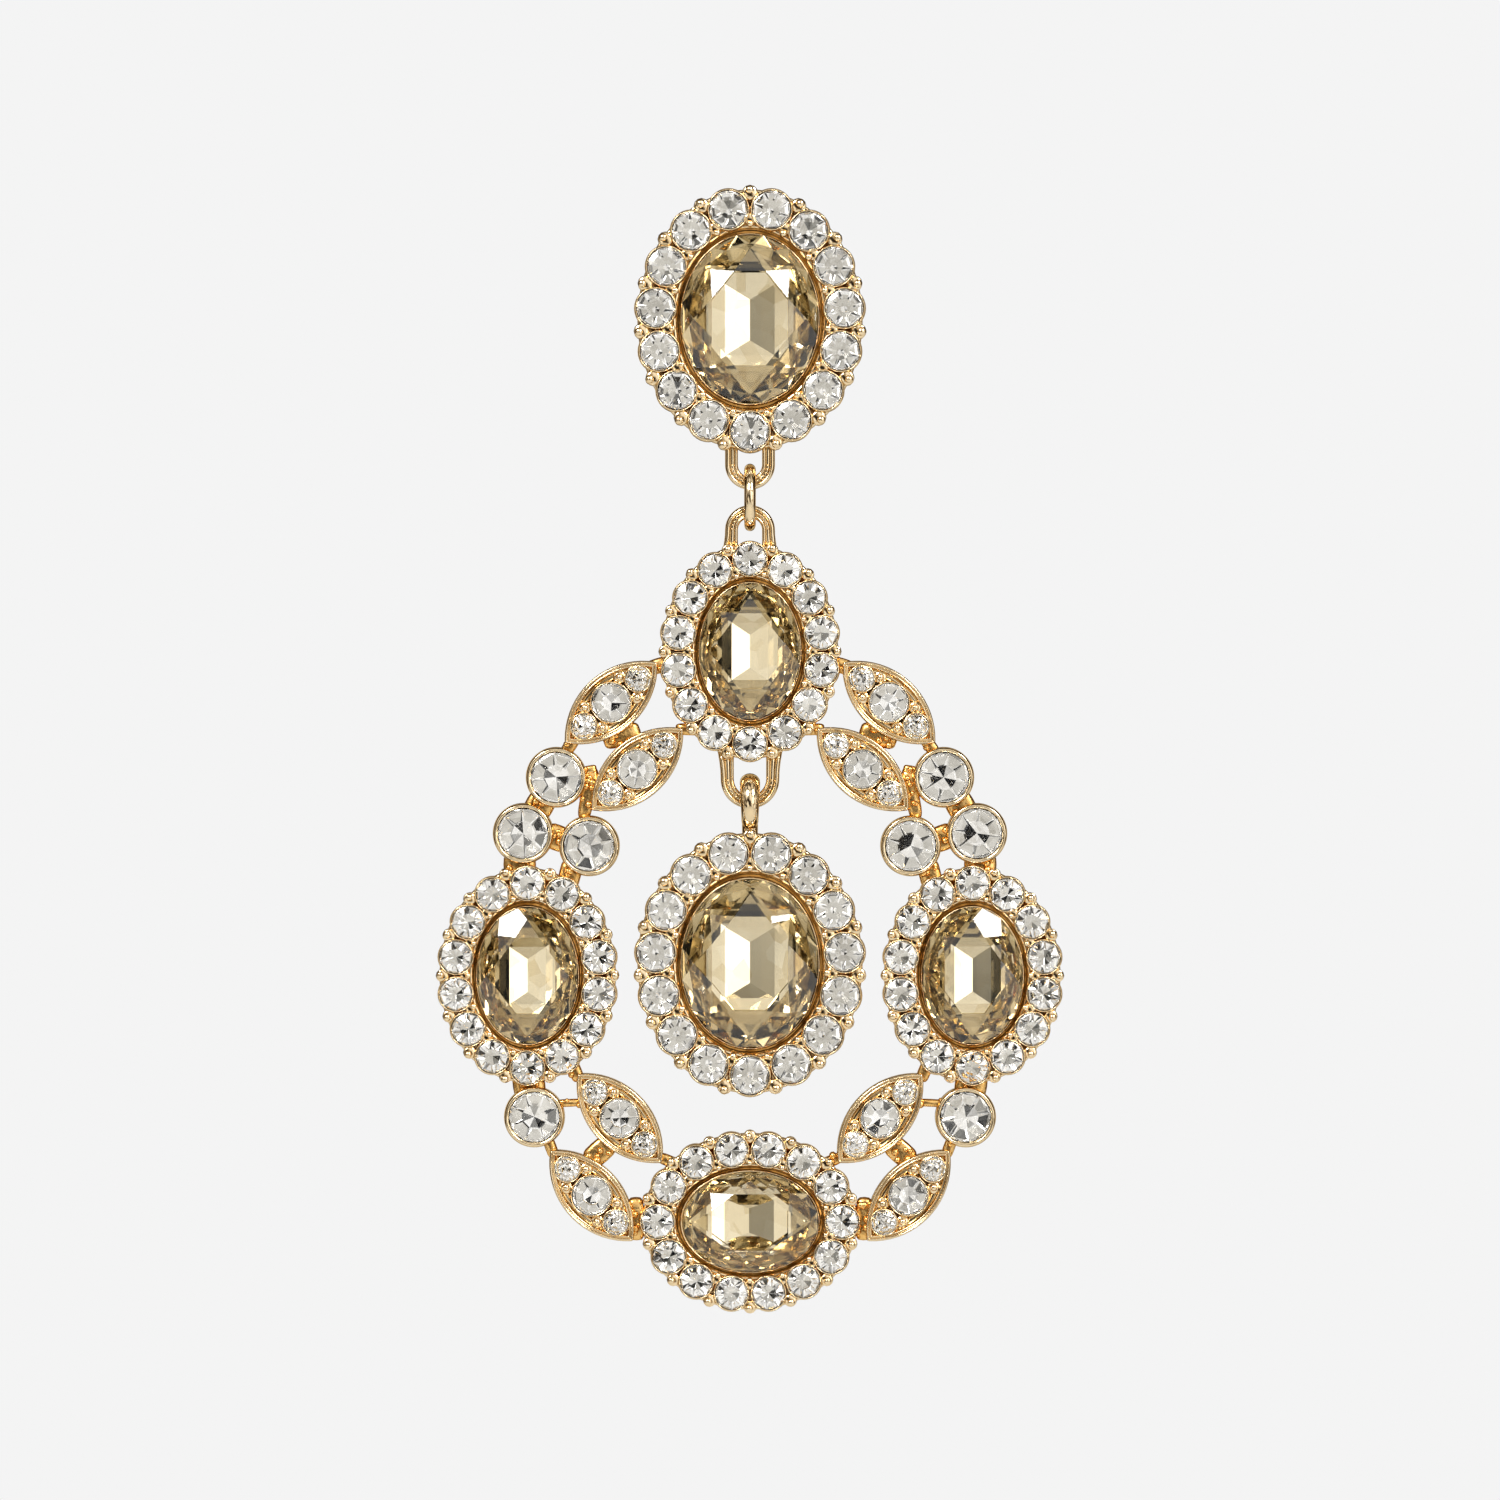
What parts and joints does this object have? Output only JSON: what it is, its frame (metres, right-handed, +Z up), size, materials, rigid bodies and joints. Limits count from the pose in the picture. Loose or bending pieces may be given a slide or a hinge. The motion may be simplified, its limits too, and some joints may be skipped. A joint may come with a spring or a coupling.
{
  "type": "chandelier earring",
  "caption": "Chandelier earring: oval stone-set stud, jump ring, open leaf frame with stone clusters, and an inner drop.",
  "frame": {"origin": "where the ear post leaves the flat back of the stud", "axes": "+Z up along the hanging earring, -Y out of its stone-set face, +X to the viewer's right"},
  "size_m": [0.0504, 0.0161, 0.0903],
  "materials": {
    "gold_plate": "cast base metal with bright polished pale gold plate",
    "clear_crystal": "faceted clear crystal, foil backed",
    "champagne_crystal": "faceted champagne crystal, foil backed"
  },
  "bodies": {
    "stud": {"stud_casting": "gold_plate", "stud_centre_stone": "champagne_crystal", "stud_halo_stones": "clear_crystal", "ear_post": "gold_plate"},
    "jump_ring": {"jump_ring": "gold_plate"},
    "frame": {"bottom_centre_stone": "champagne_crystal", "bottom_halo_stones": "clear_crystal", "frame_casting": "gold_plate", "left_centre_stone": "champagne_crystal", "left_halo_stones": "clear_crystal", "left_inner_bezel_stone": "clear_crystal", "left_lower_bezel_stone": "clear_crystal", "left_lower_inner_leaf_inner_stone": "clear_crystal", "left_lower_inner_leaf_middle_stone": "clear_crystal", "left_lower_inner_leaf_outer_stone": "clear_crystal", "left_lower_outer_leaf_inner_stone": "clear_crystal", "left_lower_outer_leaf_middle_stone": "clear_crystal", "left_lower_outer_leaf_outer_stone": "clear_crystal", "left_outer_bezel_stone": "clear_crystal", "left_upper_bezel_stone": "clear_crystal", "left_upper_inner_leaf_inner_stone": "clear_crystal", "left_upper_inner_leaf_middle_stone": "clear_crystal", "left_upper_inner_leaf_outer_stone": "clear_crystal", "left_upper_outer_leaf_inner_stone": "clear_crystal", "left_upper_outer_leaf_middle_stone": "clear_crystal", "left_upper_outer_leaf_outer_stone": "clear_crystal", "right_centre_stone": "champagne_crystal", "right_halo_stones": "clear_crystal", "right_inner_bezel_stone": "clear_crystal", "right_lower_bezel_stone": "clear_crystal", "right_lower_inner_leaf_inner_stone": "clear_crystal", "right_lower_inner_leaf_middle_stone": "clear_crystal", "right_lower_inner_leaf_outer_stone": "clear_crystal", "right_lower_outer_leaf_inner_stone": "clear_crystal", "right_lower_outer_leaf_middle_stone": "clear_crystal", "right_lower_outer_leaf_outer_stone": "clear_crystal", "right_outer_bezel_stone": "clear_crystal", "right_upper_bezel_stone": "clear_crystal", "right_upper_inner_leaf_inner_stone": "clear_crystal", "right_upper_inner_leaf_middle_stone": "clear_crystal", "right_upper_inner_leaf_outer_stone": "clear_crystal", "right_upper_outer_leaf_inner_stone": "clear_crystal", "right_upper_outer_leaf_middle_stone": "clear_crystal", "right_upper_outer_leaf_outer_stone": "clear_crystal", "top_centre_stone": "champagne_crystal", "top_halo_stones": "clear_crystal"},
    "drop": {"drop_casting": "gold_plate", "drop_centre_stone": "champagne_crystal", "drop_halo_stones": "clear_crystal"}
  },
  "joints": [
    {"name": "side_swing", "type": "hinge", "parent": "stud", "child": "jump_ring", "pos_m": [0, -0.0024, -0.01455], "axis": [0, 1, 0], "range_deg": [-40, 40]},
    {"name": "frame_swing", "type": "hinge", "parent": "jump_ring", "child": "frame", "pos_m": [0, -0.0024, -0.01797], "axis": [1, 0, 0], "range_deg": [-40, 40]},
    {"name": "drop_swing", "type": "hinge", "parent": "frame", "child": "drop", "pos_m": [0, -0.0024, -0.04123], "axis": [1, 0, 0], "range_deg": [-60, 60]}
  ]
}
